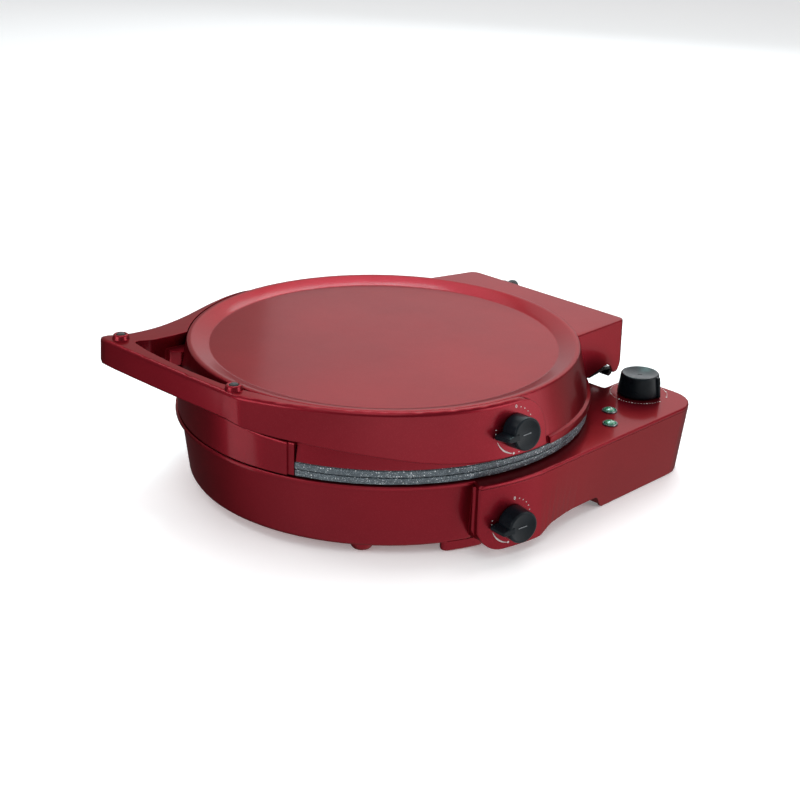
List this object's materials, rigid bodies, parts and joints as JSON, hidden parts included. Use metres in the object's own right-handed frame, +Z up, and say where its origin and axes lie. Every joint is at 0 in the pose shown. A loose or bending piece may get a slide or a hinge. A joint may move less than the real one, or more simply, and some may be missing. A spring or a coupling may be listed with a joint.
{
  "type": "electric pizza maker",
  "caption": "Round double-sided countertop pizza cooker with a hinged recessed lid, loop handle, side control panel, thermostat dials, timer knob and lamps.",
  "frame": {"origin": "centre of the bounding box in plan, at the level of the feet", "axes": "+Z up, -Y towards the handle, +Y towards the hinge, +X towards the dials and the control panel"},
  "size_m": [0.4329, 0.4548, 0.1468],
  "materials": {
    "red_shell": "metallic wine red, glossy",
    "stone": "cast, dark stone-look non-stick coat with pale specks",
    "black": "black, satin",
    "black_steel": "black pressed steel",
    "bright_steel": "plated steel",
    "reflector": "pressed bright sheet",
    "element": "heat-darkened sheath",
    "case_steel": "switch body",
    "rubber": "matt black",
    "lens": "translucent green",
    "bezel": "bright ring",
    "brass": "turned",
    "lead": "heat-resistant black sleeve"
  },
  "bodies": {
    "base": {"base_frame": "red_shell", "base_shell": "red_shell", "control_cover": "black", "lower_plate": "stone", "lower_element": "element", "lower_reflector": "reflector", "lower_reflector_screw_1": "bright_steel", "lower_reflector_screw_2": "bright_steel", "lower_reflector_screw_3": "bright_steel", "lower_thermostat": "case_steel", "timer_mechanism": "case_steel", "lamp_lens_rear": "lens", "lamp_lens_front": "lens", "lamp_bezel_rear": "bezel", "lamp_bezel_front": "bezel", "hinge_bracket": "black_steel", "hinge_rod": "black_steel", "bracket_screw_right": "bright_steel", "bracket_screw_middle": "bright_steel", "bracket_screw_left": "bright_steel", "lead_bush_base": "rubber", "lid_lead": "lead", "mains_gland": "rubber"},
    "lid": {"lid_shell": "red_shell", "handle_frame": "red_shell", "handle_bottom_cover": "black", "cover_screw_bar": "bright_steel", "cover_screw_arm": "bright_steel", "lid_foot_left": "rubber", "lid_foot_right": "rubber", "lid_skirt": "red_shell", "upper_plate": "stone", "upper_element": "element", "upper_reflector": "reflector", "upper_reflector_screw_1": "bright_steel", "upper_reflector_screw_2": "bright_steel", "upper_reflector_screw_3": "bright_steel", "upper_thermostat": "case_steel", "hinge_strap_right": "black_steel", "hinge_strap_left": "black_steel", "strap_screw_right": "bright_steel", "strap_screw_left": "bright_steel", "lead_bush_lid": "rubber"},
    "upper_dial": {"upper_dial": "black", "upper_dial_shaft": "bright_steel"},
    "lower_dial": {"lower_dial": "black", "lower_dial_shaft": "bright_steel"},
    "timer_knob": {"timer_knob": "black", "timer_shaft": "brass"}
  },
  "joints": [
    {"name": "lid_hinge", "type": "hinge", "parent": "base", "child": "lid", "pos_m": [0.00347, 0.19064, 0.084], "axis": [-1, 0, 0], "range_deg": [0, 182.8], "deforming": ["lid_lead"]},
    {"name": "upper_thermostat_turn", "type": "hinge", "parent": "lid", "child": "upper_dial", "pos_m": [0.18249, -0.05048, 0.1142], "axis": [0.9802, -0.1623, 0.1132], "range_deg": [-16, 259]},
    {"name": "lower_thermostat_turn", "type": "hinge", "parent": "base", "child": "lower_dial", "pos_m": [0.19586, -0.0645, 0.0345], "axis": [0.9763, -0.2164, 0], "range_deg": [-16, 259]},
    {"name": "timer_turn", "type": "hinge", "parent": "base", "child": "timer_knob", "pos_m": [0.14527, 0.18604, 0.074], "axis": [0, 0, 1], "range_deg": [-300, 0]}
  ]
}
